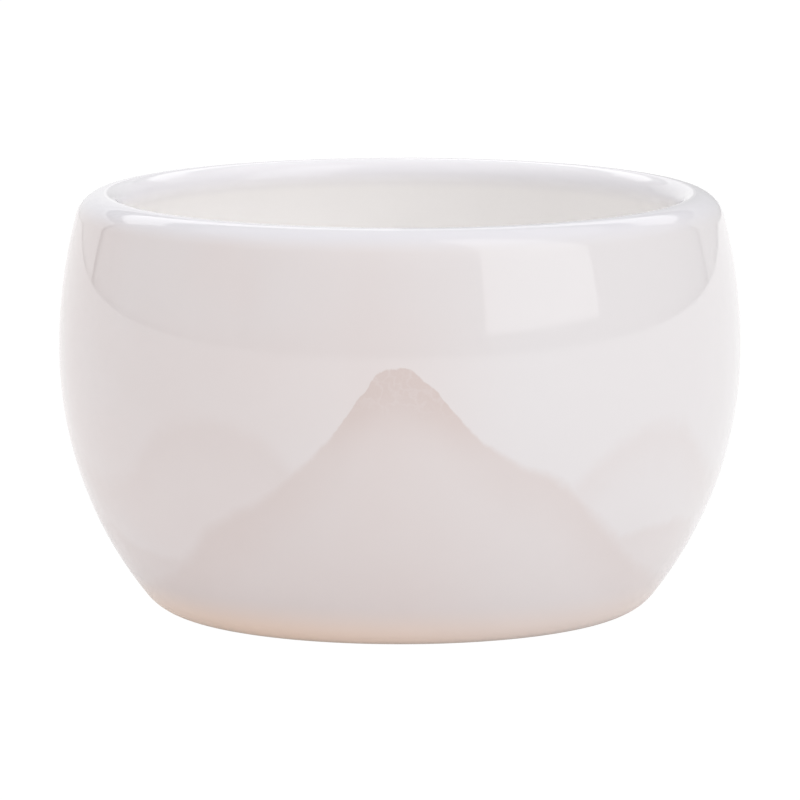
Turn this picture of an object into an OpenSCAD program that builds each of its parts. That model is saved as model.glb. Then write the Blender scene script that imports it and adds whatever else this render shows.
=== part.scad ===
// Round-bellied shaving bowl in glazed porcelain, with a thick rounded lip.
// The bowl stands on the plane z = 0 and its axis is the Z axis.
// Every solid is an outline turned about that axis. One path follows the outside wall and one the
// inside wall. Each can be set back into the wall, which is how the glaze coats get their thickness.

/* [Bowl] */
// Widest diameter, across the belly
bowl_d = 105; // [84:1:130]
// Height of the lip above the table
bowl_h = 65; // [54:0.5:78]
// Height of the widest place above the table
belly_z = 41; // [34:0.5:46]
// Radius of the wall's curve above the widest place
upper_curve_r = 80; // [66:1:110]
// Radius of the wall's curve below the widest place
lower_curve_r = 60; // [52:1:74]
// Radius that rounds the wall into the foot
base_round_r = 8; // [4:0.5:12]

/* [Wall] */
// Thickness of the wall at its widest place and below, glaze included
wall_t = 5.2; // [4.2:0.1:6.4]
// Radius of the inside wall's curve above the widest place: a tighter one thickens the wall to the lip
inner_curve_r = 50; // [47:1:60]
// Thickness of the floor in the middle, glaze included
floor_t = 5.4; // [4:0.1:8]
// Radius of the lip's outer side, from the outside wall to the crest
lip_outer_r = 4.5; // [3.5:0.1:5.4]
// Radius between the inside wall and the flat floor
floor_round_r = 15; // [10:0.5:20]

/* [Glaze] */
// Thickness of the glaze on the inside and the outside
glaze_t = 0.4; // [0.2:0.05:0.6]
// Thickness of the glaze in the recess under the bowl
underside_glaze_t = 0.3; // [0.2:0.05:0.5]
// Bare step between the foot's rim and the edge of the outside glaze
bare_step = 1.4; // [1:0.1:3]
// Bare height at the bottom of the recess wall
bare_recess_h = 0.8; // [0.4:0.1:1.2]

/* [Foot] */
// Width of the flat foot face, from the foot's rim to the recess
foot_w = 7; // [6:0.25:9]
// Bevel on both edges of the foot face
foot_bevel = 0.3; // [0.1:0.05:0.35]
// Depth of the recess inside the foot, from the foot face
recess_depth = 2.4; // [2.2:0.1:3.2]
// Radius in the corner of the recess
recess_round_r = 1.2; // [0.8:0.1:1.4]

/* [Anti-slip ring] */
// Width of the silicone ring, and of the groove that grips it
ring_w = 3.2; // [2.4:0.1:4]
// Depth of the groove in the foot face
groove_depth = 1.6; // [1.2:0.1:2.4]
// Height by which the ring stands out of the foot face
ring_proud = 0.5; // [0.3:0.05:0.8]
// Radius on the ring's two lower edges
ring_edge_r = 0.4; // [0.2:0.05:0.6]

/* [Hidden] */
$fn = 180;
curve_error = 0.02; // most that a straight stretch may cut off a curve

// heights above the table
foot_z = ring_proud;
recess_top_z = foot_z + recess_depth;
floor_z = recess_top_z + floor_t;

// Paths are lists of [radius, height].
// The points of an arc after its first one, which ends the stretch before it.
function arc(c, r, from, to) =
    let (steps = ceil(abs(to - from) / (2 * acos(1 - curve_error / r))))
    [for (i = [1:steps]) let (a = from + (to - from) * i / steps) c + r * [cos(a), sin(a)]];
function reversed(path) = [for (i = [len(path) - 1:-1:0]) path[i]];
function but_last(path) = [for (i = [0:len(path) - 2]) path[i]];
// direction from a to b, in degrees above the outward direction
function direction(a, b) = atan2(b[1] - a[1], b[0] - a[0]);
// the place at height z that is dist away from c, on the side away from the axis
function beside(c, dist, z) = [c[0] + sqrt(pow(dist, 2) - pow(z - c[1], 2)), z];

// centres of the outside wall's curves; the inside wall shares the lower one
upper_c = [bowl_d / 2 - upper_curve_r, belly_z];
lower_c = [bowl_d / 2 - lower_curve_r, belly_z];

// outside: the base rounding and the lip's outer side, each running smoothly into its wall curve
base_c = beside(lower_c, lower_curve_r - base_round_r, foot_z + base_round_r);
lip_c = beside(upper_c, upper_curve_r - lip_outer_r, bowl_h - lip_outer_r);
base_a = direction(lower_c, base_c);
lip_a = direction(upper_c, lip_c);
crest_r = lip_c[0];
foot_r = base_c[0];

// inside: the lip's inner side starts at the crest and has the radius that meets the inside wall
inner_upper_c = [bowl_d / 2 - wall_t - inner_curve_r, belly_z];
inner_lower_r = lower_curve_r - wall_t;
crest_rise = bowl_h - belly_z;
lip_inner_r = (pow(crest_r - inner_upper_c[0], 2) + pow(crest_rise, 2) - pow(inner_curve_r, 2))
    / (2 * (inner_curve_r + crest_rise));
inner_lip_c = [crest_r, bowl_h - lip_inner_r];
inner_lip_a = direction(inner_upper_c, inner_lip_c);
floor_c = beside(lower_c, inner_lower_r - floor_round_r, floor_z + floor_round_r);
floor_a = direction(lower_c, floor_c);

// the outside glaze ends where the base rounding is bare_step wider than the foot's rim
glaze_edge_a = -acos(bare_step / base_round_r);

// recess in the foot, and the groove in the middle of the foot face
recess_r = foot_r - foot_w;
groove_in = foot_r - foot_w / 2 - ring_w / 2;
groove_out = foot_r - foot_w / 2 + ring_w / 2;

// outside wall, set back by inset: from the edge of the outside glaze up to the crest
function outside_path(inset) = concat(
    [base_c + (base_round_r - inset) * [cos(glaze_edge_a), sin(glaze_edge_a)]],
    arc(base_c, base_round_r - inset, glaze_edge_a, base_a),
    arc(lower_c, lower_curve_r - inset, base_a, 0),
    arc(upper_c, upper_curve_r - inset, 0, lip_a),
    arc(lip_c, lip_outer_r - inset, lip_a, 90)
);

// inside wall, set back by inset: from the crest down to the middle of the floor
function inside_path(inset) = concat(
    [[crest_r, bowl_h - inset]],
    arc(inner_lip_c, lip_inner_r - inset, 90, 180 + inner_lip_a),
    arc(inner_upper_c, inner_curve_r + inset, inner_lip_a, 0),
    arc(lower_c, inner_lower_r + inset, 0, floor_a),
    arc(floor_c, floor_round_r + inset, floor_a, -90),
    [[0, floor_z - inset]]
);

// the recess, made smaller all round by inset: from the middle of its ceiling down to height z
function recess_path(inset, z) =
    let (r = recess_r - inset, top = recess_top_z - inset, round_r = recess_round_r - inset)
    concat(
        [[0, top], [r - round_r, top]],
        arc([r - round_r, top - round_r], round_r, 90, 0),
        [[r, z]]
    );

// the bare foot face and its groove: from the recess out to the foot's rim
foot_path = [
    [recess_r + foot_bevel, foot_z],
    [groove_in, foot_z], [groove_in, foot_z + groove_depth],
    [groove_out, foot_z + groove_depth], [groove_out, foot_z],
    [foot_r - foot_bevel, foot_z], [foot_r, foot_z + foot_bevel],
];

// the bare step, from the foot's rim out to the edge of the outside glaze
bare_path = concat(
    [[foot_r, foot_z + glaze_t]],
    arc(base_c, base_round_r - glaze_t, -90, glaze_edge_a)
);

// the fired body: everything between the glaze coats, with the bare foot, its groove and its recess
module porcelain_body() color([0.93, 0.90, 0.86]) rotate_extrude() polygon(concat(
    recess_path(0, foot_z + foot_bevel),
    foot_path,
    but_last(bare_path),
    but_last(outside_path(glaze_t)),
    inside_path(glaze_t)
));

// coat on the outside, from just above the foot up to the lip's crest
module outside_glaze() color([0.90, 0.88, 0.89]) rotate_extrude() polygon(concat(
    outside_path(0),
    reversed(outside_path(glaze_t))
));

// coat on the inside, from the lip's crest down over the floor
module inside_glaze() color([0.93, 0.90, 0.88]) rotate_extrude() polygon(concat(
    inside_path(0),
    reversed(inside_path(glaze_t))
));

// coat in the recess under the bowl
module underside_glaze() color([0.91, 0.89, 0.87]) rotate_extrude() polygon(concat(
    recess_path(0, foot_z + bare_recess_h),
    reversed(recess_path(underside_glaze_t, foot_z + bare_recess_h))
));

// silicone ring, pressed into the groove and standing a little out of it: the bowl rests on this
module antislip_ring() color([0.86, 0.86, 0.84]) rotate_extrude() polygon(concat(
    [[groove_out, foot_z + groove_depth], [groove_in, foot_z + groove_depth], [groove_in, ring_edge_r]],
    arc([groove_in + ring_edge_r, ring_edge_r], ring_edge_r, 180, 270),
    [[groove_out - ring_edge_r, 0]],
    arc([groove_out - ring_edge_r, ring_edge_r], ring_edge_r, -90, 0)
));

porcelain_body();
outside_glaze();
inside_glaze();
underside_glaze();
antislip_ring();
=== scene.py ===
# A shaving bowl in glazed porcelain, with a misty landscape under the glaze, on a white light table.
from math import acos, atan2, cos, degrees, pi, radians, sin, sqrt

import bmesh
import bpy
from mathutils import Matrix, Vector


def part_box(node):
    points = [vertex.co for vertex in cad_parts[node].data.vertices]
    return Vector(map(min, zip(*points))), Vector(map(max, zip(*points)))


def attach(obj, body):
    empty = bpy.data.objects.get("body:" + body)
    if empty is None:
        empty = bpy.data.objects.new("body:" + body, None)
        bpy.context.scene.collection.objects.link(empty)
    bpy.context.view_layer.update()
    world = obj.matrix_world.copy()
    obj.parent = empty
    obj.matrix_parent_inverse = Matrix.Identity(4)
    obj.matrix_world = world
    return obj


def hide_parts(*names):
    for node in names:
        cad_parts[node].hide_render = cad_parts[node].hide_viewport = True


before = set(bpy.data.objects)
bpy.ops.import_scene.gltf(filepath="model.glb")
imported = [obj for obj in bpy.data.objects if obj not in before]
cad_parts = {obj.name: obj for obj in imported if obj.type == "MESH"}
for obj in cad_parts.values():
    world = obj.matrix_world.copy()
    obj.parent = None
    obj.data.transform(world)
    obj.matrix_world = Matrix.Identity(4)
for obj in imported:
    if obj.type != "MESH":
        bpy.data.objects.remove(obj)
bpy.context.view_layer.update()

MM = 0.001

# ------------------------------------------------------------------ sizes, in metres

# from the frame: how wide and high the bowl is, and where its coats begin and end
LIP_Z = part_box("outside_glaze")[1][2]
BELLY_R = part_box("outside_glaze")[1][0]
FOOT_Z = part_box("porcelain_body")[0][2]
GLAZE_T = LIP_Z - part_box("porcelain_body")[1][2]
FLOOR_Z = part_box("inside_glaze")[0][2] + GLAZE_T
RECESS_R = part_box("underside_glaze")[1][0]
RECESS_TOP_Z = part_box("underside_glaze")[1][2]
RECESS_GLAZE_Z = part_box("underside_glaze")[0][2]
RING_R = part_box("antislip_ring")[1][0]
RING_TOP_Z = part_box("antislip_ring")[1][2]

# the curves of the wall and the foot, as the frame has them
BELLY_Z = 41 * MM
UPPER_CURVE_R = 80 * MM
LOWER_CURVE_R = 60 * MM
BASE_ROUND_R = 8 * MM
WALL_T = 5.2 * MM
INNER_CURVE_R = 50 * MM
LIP_OUTER_R = 4.5 * MM
FLOOR_ROUND_R = 15 * MM
BARE_STEP = 1.4 * MM
FOOT_BEVEL = 0.3 * MM
RECESS_ROUND_R = 1.2 * MM
UNDERSIDE_GLAZE_T = 0.3 * MM
RING_W = 3.2 * MM
RING_EDGE_R = 0.4 * MM

# what firing and moulding leave of the crisp edges
FIRED_EDGE = 0.08 * MM
MOULDED_EDGE = 0.1 * MM

# ------------------------------------------------------------------ outlines
# An outline is drawn at y = 0 as a chain of vertices, by a pen that goes straight or round a centre.

TURN_STEPS = 240
# degrees in one step of an arc
ARC_STEP = 1.5
SMALL_ARC_STEP = 6.0
# an edge that turns more than this is crisp, unless it is softened
SHARP_TURN = 40
# vertices closer than this are one
SAME_PLACE = 0.0001 * MM
# a very short last stretch keeps the shading level where the two coats meet over the crest
CREST_STRETCH = 0.1


def beside(centre, dist, z):
    """The place at height z that is dist away from centre, on the side away from the axis."""
    return (centre[0] + sqrt(dist ** 2 - (z - centre[1]) ** 2), z)


def direction(a, b):
    """Direction from a to b in degrees, 0 outwards and 90 up."""
    return degrees(atan2(b[1] - a[1], b[0] - a[0]))


UPPER_C = (BELLY_R - UPPER_CURVE_R, BELLY_Z)
LOWER_C = (BELLY_R - LOWER_CURVE_R, BELLY_Z)
BASE_C = beside(LOWER_C, LOWER_CURVE_R - BASE_ROUND_R, FOOT_Z + BASE_ROUND_R)
LIP_C = beside(UPPER_C, UPPER_CURVE_R - LIP_OUTER_R, LIP_Z - LIP_OUTER_R)
BASE_A = direction(LOWER_C, BASE_C)
LIP_A = direction(UPPER_C, LIP_C)
CREST_R = LIP_C[0]
FOOT_R = BASE_C[0]
GLAZE_EDGE_A = -degrees(acos(BARE_STEP / BASE_ROUND_R))

INNER_UPPER_C = (BELLY_R - WALL_T - INNER_CURVE_R, BELLY_Z)
INNER_LOWER_R = LOWER_CURVE_R - WALL_T
CREST_RISE = LIP_Z - BELLY_Z
INNER_LIP_R = ((CREST_R - INNER_UPPER_C[0]) ** 2 + CREST_RISE ** 2 - INNER_CURVE_R ** 2) / (
    2 * (INNER_CURVE_R + CREST_RISE))
INNER_LIP_C = (CREST_R, LIP_Z - INNER_LIP_R)
INNER_LIP_A = direction(INNER_UPPER_C, INNER_LIP_C)
FLOOR_C = beside(LOWER_C, INNER_LOWER_R - FLOOR_ROUND_R, FLOOR_Z + FLOOR_ROUND_R)
FLOOR_A = direction(LOWER_C, FLOOR_C)


class Pen:
    """Draws an outline, one stretch after another, from its starting vertex."""

    def __init__(self, r, z):
        self.bm = bmesh.new()
        self.first = self.last = self.bm.verts.new((r, 0, z))

    def to(self, r, z):
        new = bmesh.ops.extrude_vert_indiv(self.bm, verts=[self.last])["verts"][0]
        new.co = (r, 0, z)
        self.last = new
        return self

    def round(self, centre, turn, step=ARC_STEP):
        """Goes round centre by turn degrees, against the clock when turn is positive."""
        out = bmesh.ops.spin(
            self.bm, geom=[self.last], cent=(centre[0], 0, centre[1]), axis=(0, -1, 0), dvec=(0, 0, 0),
            angle=radians(turn), steps=max(1, round(abs(turn) / step)), use_merge=False)
        self.last = [v for v in out["geom_last"] if isinstance(v, bmesh.types.BMVert)][0]
        return self

    def close(self):
        self.bm.edges.new((self.last, self.first))
        return self


def outside(pen, sign=1):
    """The outside wall from the glaze's edge to the crest, or back down with a sign of -1."""
    stretches = [
        (BASE_C, BASE_A - GLAZE_EDGE_A),
        (LOWER_C, -BASE_A),
        (UPPER_C, LIP_A),
        (LIP_C, 90 - LIP_A - CREST_STRETCH),
        (LIP_C, CREST_STRETCH),
    ]
    for centre, turn in stretches[::sign]:
        pen.round(centre, sign * turn)
    return pen


def inside(pen, sign=1):
    """The inside wall from the crest to the flat floor, or back up with a sign of -1."""
    stretches = [
        (INNER_LIP_C, CREST_STRETCH),
        (INNER_LIP_C, 90 + INNER_LIP_A - CREST_STRETCH),
        (INNER_UPPER_C, -INNER_LIP_A),
        (LOWER_C, FLOOR_A),
        (FLOOR_C, -90 - FLOOR_A),
    ]
    for centre, turn in stretches[::sign]:
        pen.round(centre, sign * turn)
    return pen


def turned(name, pen, soften=0.0):
    """The piece that an outline makes when it is turned about the axis, with its edges softened."""
    bm = pen.bm
    bmesh.ops.spin(
        bm, geom=bm.verts[:] + bm.edges[:], cent=(0, 0, 0), axis=(0, 0, 1), dvec=(0, 0, 0),
        angle=2 * pi, steps=TURN_STEPS, use_merge=True)
    bmesh.ops.remove_doubles(bm, verts=bm.verts[:], dist=SAME_PLACE)
    # an outline's stretch along the axis turns into no face
    bmesh.ops.delete(bm, geom=[e for e in bm.edges if not e.link_faces], context="EDGES")
    bmesh.ops.recalc_face_normals(bm, faces=bm.faces[:])
    if soften:
        edges = [e for e in bm.edges if e.calc_face_angle() > radians(SHARP_TURN)]
        bmesh.ops.bevel(bm, geom=edges, offset=soften, segments=3, profile=0.5, affect="EDGES")
    for face in bm.faces:
        face.smooth = True
    for edge in bm.edges:
        edge.smooth = edge.calc_face_angle() < radians(SHARP_TURN)
    mesh = bpy.data.meshes.new(name)
    bm.to_mesh(mesh)
    bm.free()
    piece = bpy.data.objects.new(name, mesh)
    bpy.context.collection.objects.link(piece)
    return piece


def on(centre, radius, angle):
    """The point of a circle at an angle in degrees."""
    return (centre[0] + radius * cos(radians(angle)), centre[1] + radius * sin(radians(angle)))


def make_outside_glaze():
    pen = Pen(*on(BASE_C, BASE_ROUND_R, GLAZE_EDGE_A))
    outside(pen)
    pen.to(CREST_R, LIP_Z - GLAZE_T)
    outside(pen, -1)
    return turned("outside_glaze_coat", pen.close())


def make_inside_glaze():
    pen = Pen(CREST_R, LIP_Z)
    inside(pen)
    pen.to(0, FLOOR_Z)
    pen.to(0, FLOOR_Z - GLAZE_T)
    pen.to(FLOOR_C[0], FLOOR_Z - GLAZE_T)
    inside(pen, -1)
    return turned("inside_glaze_coat", pen.close())


def make_underside_glaze():
    top, inner_top = RECESS_TOP_Z, RECESS_TOP_Z - UNDERSIDE_GLAZE_T
    corner = (RECESS_R - RECESS_ROUND_R, top - RECESS_ROUND_R)
    pen = Pen(0, top).to(corner[0], top).round(corner, -90, SMALL_ARC_STEP).to(RECESS_R, RECESS_GLAZE_Z)
    pen.to(RECESS_R - UNDERSIDE_GLAZE_T, RECESS_GLAZE_Z).to(RECESS_R - UNDERSIDE_GLAZE_T, corner[1])
    pen.round(corner, 90, SMALL_ARC_STEP).to(0, inner_top)
    return turned("underside_glaze_coat", pen)


def make_body():
    groove_z = RING_TOP_Z
    corner = (RECESS_R - RECESS_ROUND_R, RECESS_TOP_Z - RECESS_ROUND_R)
    pen = Pen(0, RECESS_TOP_Z).to(corner[0], RECESS_TOP_Z).round(corner, -90, SMALL_ARC_STEP)
    pen.to(RECESS_R, FOOT_Z + FOOT_BEVEL).to(RECESS_R + FOOT_BEVEL, FOOT_Z)
    pen.to(RING_R - RING_W, FOOT_Z).to(RING_R - RING_W, groove_z).to(RING_R, groove_z).to(RING_R, FOOT_Z)
    pen.to(FOOT_R - FOOT_BEVEL, FOOT_Z).to(FOOT_R, FOOT_Z + FOOT_BEVEL).to(FOOT_R, FOOT_Z + GLAZE_T)
    pen.round(BASE_C, GLAZE_EDGE_A + 90, SMALL_ARC_STEP)
    outside(pen)
    inside(pen)
    pen.to(0, FLOOR_Z - GLAZE_T)
    return turned("porcelain_pot", pen, FIRED_EDGE)


def make_ring():
    inner = RING_R - RING_W
    pen = Pen(RING_R, RING_TOP_Z).to(inner, RING_TOP_Z).to(inner, RING_EDGE_R)
    pen.round((inner + RING_EDGE_R, RING_EDGE_R), 90, SMALL_ARC_STEP).to(RING_R - RING_EDGE_R, 0)
    pen.round((RING_R - RING_EDGE_R, RING_EDGE_R), 90, SMALL_ARC_STEP)
    return turned("silicone_ring", pen.close(), MOULDED_EDGE)


# ------------------------------------------------------------------ materials

def linear(hex_colour):
    """An sRGB hex colour as linear red, green, blue and alpha."""
    channels = [int(hex_colour[i:i + 2], 16) / 255 for i in (1, 3, 5)]
    return [c / 12.92 if c <= 0.04045 else ((c + 0.055) / 1.055) ** 2.4 for c in channels] + [1.0]


def add(tree, kind, inputs=(), out=0, **settings):
    """Adds a node, sets it, gives its inputs their values or links, and returns one of its outputs."""
    node = tree.nodes.new("ShaderNode" + kind)
    for name, value in settings.items():
        setattr(node, name, value)
    for socket, value in dict(inputs).items():
        if isinstance(value, bpy.types.NodeSocket):
            tree.links.new(value, node.inputs[socket])
        else:
            node.inputs[socket].default_value = value
    return node.outputs[out] if node.outputs else node


GLASS_IOR = 1.5
SILICONE_IOR = 1.41

# the colour mix node's sockets
FACTOR, FIRST, SECOND, MIXED = 0, 6, 7, 2


def blend(tree, amount, first, second):
    return add(tree, "Mix", {FACTOR: amount, FIRST: first, SECOND: second}, out=MIXED,
               data_type="RGBA")


def span(tree, value, low, high, start=0.0, end=1.0, shape="SMOOTHSTEP"):
    """Goes from start to end while value goes from low to high."""
    return add(tree, "MapRange", {"Value": value, "From Min": low, "From Max": high,
                                  "To Min": start, "To Max": end}, interpolation_type=shape)


def maths(tree, operation, *values):
    return add(tree, "Math", dict(enumerate(values)), operation=operation)


def noise(tree, place, size, **inputs):
    """Noise whose blobs are about size metres across."""
    return add(tree, "TexNoise", {"Vector": place, "Scale": 1 / size, **inputs})


def grained(tree, height, depth):
    """A surface whose grain stands depth high."""
    return add(tree, "Bump", {"Height": height, "Distance": depth, "Strength": 1.0})


def material(name):
    made = bpy.data.materials.new(name)
    made.use_nodes = True
    made.node_tree.nodes.clear()
    return made, made.node_tree


def surface(tree, **sockets):
    shader = add(tree, "BsdfPrincipled", {k.replace("_", " "): v for k, v in sockets.items()})
    add(tree, "OutputMaterial", {"Surface": shader})


def place_on_bowl(tree):
    """The place itself, its azimuth in degrees (0 at the front, 90 at +X) and its height."""
    place = add(tree, "TexCoord", out="Object")
    x, y, z = add(tree, "SeparateXYZ", {0: place}).node.outputs
    turn = maths(tree, "ARCTAN2", x, maths(tree, "MULTIPLY", y, -1.0))
    return place, maths(tree, "DEGREES", turn), z


def glassy(tree, place, colour):
    """Porcelain glaze: mirror smooth glass with the slow waves it froze in as it ran."""
    waves = noise(tree, place, 14 * MM, Detail=1.0)
    rough = span(tree, noise(tree, place, 6 * MM, Detail=3.0), 0.3, 0.7, 0.035, 0.06)
    surface(tree, Base_Color=colour, Roughness=rough, IOR=GLASS_IOR,
            Normal=grained(tree, waves, 0.012 * MM))


# glaze on the outside wall: white, with a rosier painted warm shade for its left side and a cooler painted
# reflection tint over the lip
WHITE_GLAZE = linear("#E0DCDD")
WARM_SHADE_GLAZE = linear("#DED5D4")
LIP_REFLECTION_TINT = linear("#DFDDE2")
# glaze inside: a cool painted reflection tint at the lip, a painted lit cream below it that is much
# brighter than the outside glaze, and the thin coat underneath
INSIDE_LIP_REFLECTION_TINT = linear("#EBE9ED")
LIT_INSIDE_GLAZE = linear("#FDFBFA")
MILK_GLAZE = linear("#F1EFEC")
# ink of the print, and a painted warm peach reflection above the foot
PRINT_BEIGE = linear("#D2C3BF")
FOOT_REFLECTION_PEACH = linear("#F2DAC9")
# bare clay, and the ring's rubber
PALE_CLAY = linear("#EFEAE1")
WARM_CLAY = linear("#E6D9C6")
MILKY_RUBBER = linear("#DEDEDB")
DUSTY_RUBBER = linear("#CFCBC3")

# heights in mm of each range's crest, by azimuth in degrees
MAIN_RANGE = (
    (-100, 0), (-70, 7), (-48, 12), (-36, 19), (-24, 25), (-13, 33), (-6, 41), (-1, 45), (4, 43),
    (10, 37), (18, 31), (28, 27), (38, 20), (54, 12), (75, 7), (100, 0))
FAR_RANGE = (
    (-180, 28), (-150, 36), (-120, 25), (-90, 33), (-62, 24), (-34, 36), (-12, 26), (20, 22),
    (48, 34), (75, 24), (105, 32), (140, 25), (160, 31), (180, 28))
NEAR_RANGE = (
    (-180, 14), (-150, 22), (-115, 12), (-80, 18), (-50, 13), (-28, 18), (0, 11), (30, 15),
    (62, 18), (92, 9), (125, 21), (155, 12), (180, 14))


def crest(tree, azimuth, points):
    """The height of a range's crest in metres, from its list of places."""
    first, last = points[0][0], points[-1][0]
    along = span(tree, azimuth, first, last, shape="LINEAR")
    height = add(tree, "FloatCurve", {"Value": along})
    curve = height.node.mapping.curves[0]
    for a, h in points[1:-1]:
        curve.points.new((a - first) / (last - first), h * MM / LIP_Z)
    curve.points[0].location = (0, points[0][1] * MM / LIP_Z)
    curve.points[-1].location = (1, points[-1][1] * MM / LIP_Z)
    height.node.mapping.update()
    return maths(tree, "MULTIPLY", height, LIP_Z)


def mountain(tree, place, azimuth, z, points, rough, soft, near, far, depth):
    """The ink of one range, as strong as near at its crest and as far at depth below it.

    Its edge is as crooked as rough and as blurred as soft.
    """
    crag = noise(tree, place, 4 * MM, Detail=6.0, Roughness=0.62)
    crag = span(tree, crag, 0.3, 0.7, -rough, rough, "LINEAR")
    top = maths(tree, "ADD", crest(tree, azimuth, points), crag)
    below = maths(tree, "SUBTRACT", top, z)
    edge = span(tree, below, maths(tree, "MULTIPLY", soft, -1.0), soft)
    return maths(tree, "MULTIPLY", edge, span(tree, below, 0.0, depth, near, far))


def peak_marks(tree, place, z, cloud):
    """What the ink is multiplied by: more towards the peak, with pale cracks and a fine grain there."""
    deeper = span(tree, z, 30 * MM, 42 * MM, 1.0, 1.9)
    wander = add(tree, "TexNoise", {"Vector": place, "Scale": 1 / (2 * MM), "Detail": 3.0}, out="Color")
    wander = add(tree, "VectorMath", {0: wander, 1: (3 * MM,) * 3, 2: place}, operation="MULTIPLY_ADD")
    cracks = add(tree, "TexVoronoi", {"Vector": wander, "Scale": 1 / (4 * MM)}, feature="DISTANCE_TO_EDGE")
    cracks = maths(tree, "MULTIPLY", span(tree, cracks, 0.0, 0.06, 0.4, 0.0), span(tree, cloud, 0.4, 0.6))
    grain = noise(tree, place, 0.35 * MM, Detail=1.0)
    grain = span(tree, grain, 0.3, 0.7, -0.12, 0.12, "LINEAR")
    marks = maths(tree, "SUBTRACT", grain, cracks)
    return maths(tree, "ADD", deeper, maths(tree, "MULTIPLY", marks, span(tree, z, 36 * MM, 41 * MM)))


def landscape(tree, place, azimuth, z, cloud):
    """The ink of the three ranges, of which the tall one in front is crispest round its peak."""
    soft = span(tree, z, 16 * MM, 40 * MM, 2.2 * MM, 0.18 * MM)
    main = mountain(tree, place, azimuth, z, MAIN_RANGE,
                    rough=0.45 * MM, soft=soft, near=0.52, far=0.3, depth=12 * MM)
    main = maths(tree, "MULTIPLY", main, peak_marks(tree, place, z, cloud))
    far = mountain(tree, place, azimuth, z, FAR_RANGE,
                   rough=0.8 * MM, soft=2.2 * MM, near=0.22, far=0.05, depth=11 * MM)
    near = mountain(tree, place, azimuth, z, NEAR_RANGE,
                    rough=0.6 * MM, soft=1.4 * MM, near=0.3, far=0.24, depth=9 * MM)
    return maths(tree, "MAXIMUM", maths(tree, "MAXIMUM", main, far), near)


def make_outside_look():
    """White gloss glaze over a transfer print, whose edges blurred when the glaze melted round them."""
    made, tree = material("outside_glaze")
    place, azimuth, z = place_on_bowl(tree)
    x = add(tree, "SeparateXYZ", {0: place})
    # painted shade: the left side, away from the key light, is made a little rosier and darker, in patches
    cloud = noise(tree, place, 28 * MM, Detail=2.0)
    patchy = span(tree, cloud, 0.3, 0.65, 0.6, 1.0)
    warm_shade = maths(tree, "MULTIPLY", span(tree, x, 22 * MM, -8 * MM), patchy)
    ground = blend(tree, warm_shade, WHITE_GLAZE, WARM_SHADE_GLAZE)
    # painted reflection: over the lip the glaze is tinted cooler, for the cool light it reflects there
    lip_reflection = span(tree, z, LIP_Z - 3.5 * MM, LIP_Z - 0.5 * MM)
    ground = blend(tree, lip_reflection, ground, LIP_REFLECTION_TINT)
    colour = blend(tree, landscape(tree, place, azimuth, z, cloud), ground, PRINT_BEIGE)
    # painted reflection: above the foot the glaze is tinted a warm peach, strongest at the bottom and on
    # the left, for warm light reflected from below
    low = span(tree, z, 1 * MM, 8 * MM, 1.0, 0.0)
    reflection_lean = span(tree, x, -30 * MM, 30 * MM, 1.0, 0.45)
    colour = blend(tree, maths(tree, "MULTIPLY", low, reflection_lean), colour, FOOT_REFLECTION_PEACH)
    glassy(tree, place, colour)
    return made


def make_inside_look():
    """Clear glaze poured in and swirled, with painted light: cooler at the lip for a reflection, and
    bright cream lower down for the light inside the bowl.
    """
    made, tree = material("inside_glaze")
    place, _, z = place_on_bowl(tree)
    # painted light: over the lip the glaze is tinted cooler for a reflection, and lower down it is painted
    # a bright cream for the light inside the bowl
    depth = span(tree, z, LIP_Z - 5 * MM, LIP_Z - 1.5 * MM, 1.0, 0.0)
    glassy(tree, place, blend(tree, depth, INSIDE_LIP_REFLECTION_TINT, LIT_INSIDE_GLAZE))
    return made


def make_underside_look():
    """Thin glaze brushed into the recess: the strokes still show, and at its edge the clay warms it."""
    made, tree = material("underside_glaze")
    place, _, z = place_on_bowl(tree)
    strokes = add(tree, "VectorMath", {0: place, 1: (1.0, 6.0, 1.0)}, operation="MULTIPLY")
    thin = span(tree, noise(tree, strokes, 9 * MM, Detail=3.0), 0.35, 0.7)
    edge = span(tree, z, RECESS_GLAZE_Z, RECESS_GLAZE_Z + 1.2 * MM, 0.6, 0.0)
    clay = maths(tree, "MAXIMUM", edge, maths(tree, "MULTIPLY", thin, 0.3))
    glassy(tree, place, blend(tree, clay, MILK_GLAZE, WARM_CLAY))
    return made


def make_biscuit_look():
    """Bare fired porcelain, wiped with a sponge: chalky and very fine, with a faint kiln flush."""
    made, tree = material("biscuit_porcelain")
    place = add(tree, "TexCoord", out="Object")
    patches = span(tree, noise(tree, place, 7 * MM, Detail=4.0), 0.35, 0.7, 0.0, 0.6)
    grit = noise(tree, place, 0.12 * MM, Detail=2.0)
    surface(tree, Base_Color=blend(tree, patches, PALE_CLAY, WARM_CLAY), IOR=GLASS_IOR,
            Roughness=span(tree, grit, 0.3, 0.7, 0.55, 0.75), Normal=grained(tree, grit, 0.008 * MM))
    return made


def make_silicone_look():
    """Clear silicone rubber, moulded in a blasted tool: milky, soft to light, with a satin skin."""
    made, tree = material("silicone_rubber")
    place = add(tree, "TexCoord", out="Object")
    skin = noise(tree, place, 0.2 * MM, Detail=2.0)
    dust = span(tree, noise(tree, place, 5 * MM, Detail=4.0), 0.45, 0.75, 0.0, 0.35)
    surface(tree, Base_Color=blend(tree, dust, MILKY_RUBBER, DUSTY_RUBBER), Roughness=0.42,
            IOR=SILICONE_IOR, Normal=grained(tree, skin, 0.01 * MM), Subsurface_Weight=0.4,
            Subsurface_Radius=(1.0, 1.0, 0.9), Subsurface_Scale=0.8 * MM)
    return made


# ------------------------------------------------------------------ the pieces

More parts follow.
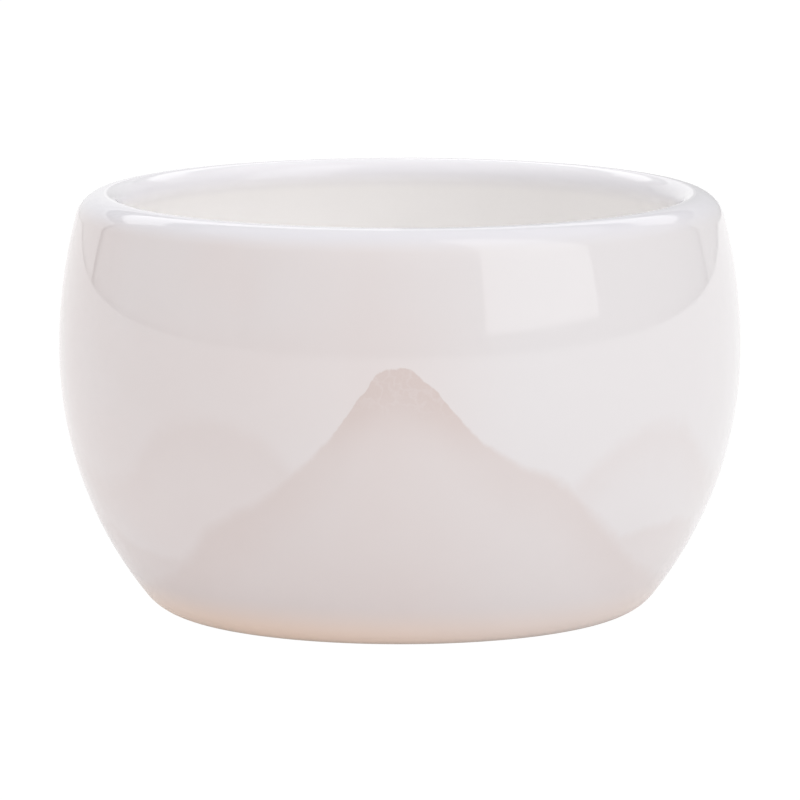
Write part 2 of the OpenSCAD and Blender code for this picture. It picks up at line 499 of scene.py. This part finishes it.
PIECES = (
    (make_body, make_biscuit_look, "porcelain_body", "porcelain"),
    (make_outside_glaze, make_outside_look, "outside_glaze", "outside_glaze"),
    (make_inside_glaze, make_inside_look, "inside_glaze", "inside_glaze"),
    (make_underside_glaze, make_underside_look, "underside_glaze", "underside_glaze"),
    (make_ring, make_silicone_look, "antislip_ring", "silicone"),
)

for make, look, node, slot in PIECES:
    piece = make()
    piece.data.materials.append(look())
    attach(piece, "root")
    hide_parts(node)

# ------------------------------------------------------------------ the studio

scene = bpy.context.scene
scene.view_settings.view_transform = "Standard"

# light table: lit from below, so that to the eye it is white everywhere
TABLE_HALF = 30
PURE_WHITE = linear("#FFFFFF")
ACRYLIC_WHITE = linear("#EDEDED")
TABLE_GLOW = 0.16
TABLE_TO_EYE = 1.05
# the rest of what the eye sees is the sheet itself, with the bowl's faint shadow
GLOW_SHARE = 0.96
bm = bmesh.new()
bmesh.ops.create_grid(bm, x_segments=1, y_segments=1, size=TABLE_HALF)
mesh = bpy.data.meshes.new("light_table")
bm.to_mesh(mesh)
bm.free()
table = bpy.data.objects.new("light_table", mesh)
bpy.context.collection.objects.link(table)
made, tree = material("white_acrylic")
sheet = add(tree, "BsdfDiffuse", {"Color": ACRYLIC_WHITE})
faint = add(tree, "Emission", {"Color": PURE_WHITE, "Strength": TABLE_GLOW})
lit = add(tree, "Emission", {"Color": PURE_WHITE, "Strength": TABLE_TO_EYE})
dim = add(tree, "AddShader", {0: sheet, 1: faint})
seen = maths(tree, "MULTIPLY", add(tree, "LightPath", out="Is Camera Ray"), GLOW_SHARE)
add(tree, "OutputMaterial", {"Surface": add(tree, "MixShader", {0: seen, 1: dim, 2: lit})})
table.data.materials.append(made)

# the tent round the bowl: panels of cloth, each from one azimuth and height to another in degrees
PANELS = (
    # azimuths, heights, softness of the edges, radiance
    (-129, -57, 0, 22, 2.0, 0.75),
    (-57, -15, 0, 22, 2.0, 0.52),
    (-15, 129, 0, 22, 2.0, 0.42),
    (-131, -60, 22, 50, 4.0, 0.85),
    (-60, 29, 22, 50, 4.0, 1.00),
    (29, 131, 22, 50, 4.0, 0.72),
    (29, 71, 4.5, 75, 0.6, 1.35),
    (-190, 190, 50, 91, 3.0, 1.10),
    (-190, -131, 0, 22, 0.6, 0.98),
    (131, 190, 0, 22, 0.6, 0.64),
    (-190, -131, 22, 50, 3.0, 0.66),
    (131, 190, 22, 50, 3.0, 0.46),
    (-190, -131, 29, 42, 1.0, 1.30),
    (131, 190, 29, 42, 1.0, 1.10),
)


def ramp(tree, value, low, high, soft):
    """1 while value is from low to high, with soft edges, and 0 outside."""
    rise = span(tree, value, low - soft, low + soft)
    return maths(tree, "SUBTRACT", rise, span(tree, value, high - soft, high + soft))


BACKDROP = 1.03
world = bpy.data.worlds.new("tent")
scene.world = world
world.use_nodes = True
tree = world.node_tree
tree.nodes.clear()
where = add(tree, "TexCoord", out="Generated")
x, y, z = add(tree, "SeparateXYZ", {0: where}).node.outputs
azimuth = maths(tree, "DEGREES", maths(tree, "ARCTAN2", x, maths(tree, "MULTIPLY", y, -1.0)))
height = maths(tree, "DEGREES", maths(tree, "ARCSINE", z))
light = 0.0
for left, right, low, high, soft, radiance in PANELS:
    across = ramp(tree, azimuth, left, right, soft)
    cloth = maths(tree, "MULTIPLY", across, ramp(tree, height, low, high, soft))
    light = maths(tree, "ADD", light, maths(tree, "MULTIPLY", cloth, radiance))
tent = add(tree, "Background", {"Color": PURE_WHITE, "Strength": light})
white = add(tree, "Background", {"Color": PURE_WHITE, "Strength": BACKDROP})
seen = add(tree, "LightPath", out="Is Camera Ray")
add(tree, "OutputWorld", {"Surface": add(tree, "MixShader", {0: seen, 1: tent, 2: white})})

# the camera: a long lens, a little above the bowl, that looks at its middle
CAMERA_DIST = 1.232
CAMERA_ABOVE = 8.3
LENS = 360
SENSOR = 36
FAR_CLIP = 100
AIM = Vector((0, 0, 32.7 * MM))
camera_data = bpy.data.cameras.new("camera")
camera_data.lens = LENS
camera_data.sensor_width = SENSOR
camera_data.clip_end = FAR_CLIP
camera = bpy.data.objects.new("camera", camera_data)
bpy.context.collection.objects.link(camera)
sight = Vector((0, -cos(radians(CAMERA_ABOVE)), sin(radians(CAMERA_ABOVE))))
camera.location = AIM + CAMERA_DIST * sight
camera.rotation_euler = sight.to_track_quat("Z", "Y").to_euler()
scene.camera = camera
